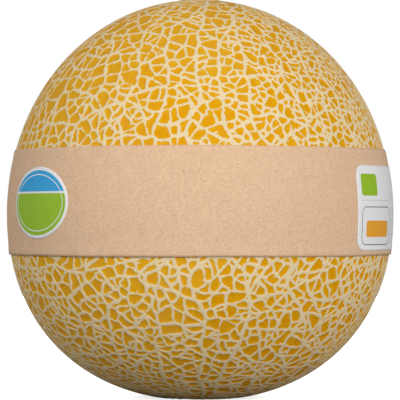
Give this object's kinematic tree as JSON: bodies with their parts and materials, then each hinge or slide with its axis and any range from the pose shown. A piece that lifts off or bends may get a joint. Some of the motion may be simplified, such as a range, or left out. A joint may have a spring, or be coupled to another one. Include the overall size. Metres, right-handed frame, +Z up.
{
  "type": "netted melon",
  "caption": "Whole round netted melon standing on a small flat spot, with a brown kraft paper band round its middle, and on the band a white label and an oval sticker printed with plain fields and no lettering.",
  "frame": {"origin": "centre of the small flat spot that the melon rests on, at the bottom centre of its box", "axes": "+Z up through the stem scar, -Y towards the front of the paper band, +X to the right seen from the front"},
  "size_m": [0.1339, 0.1341, 0.136],
  "materials": {
    "netted_rind": "golden rind under a raised cream corky net, dry and matt",
    "kraft_paper": "uncoated brown kraft paper with fine fibres",
    "label_paper": "smooth white label paper, printed with a green field, an amber bar and thin rules",
    "sticker_paper": "smooth sticker paper, a green field under a blue cap, with a white edge"
  },
  "bodies": {
    "root": {"melon": "netted_rind", "paper_band": "kraft_paper", "side_label": "label_paper", "oval_sticker": "sticker_paper"}
  },
  "joints": []
}
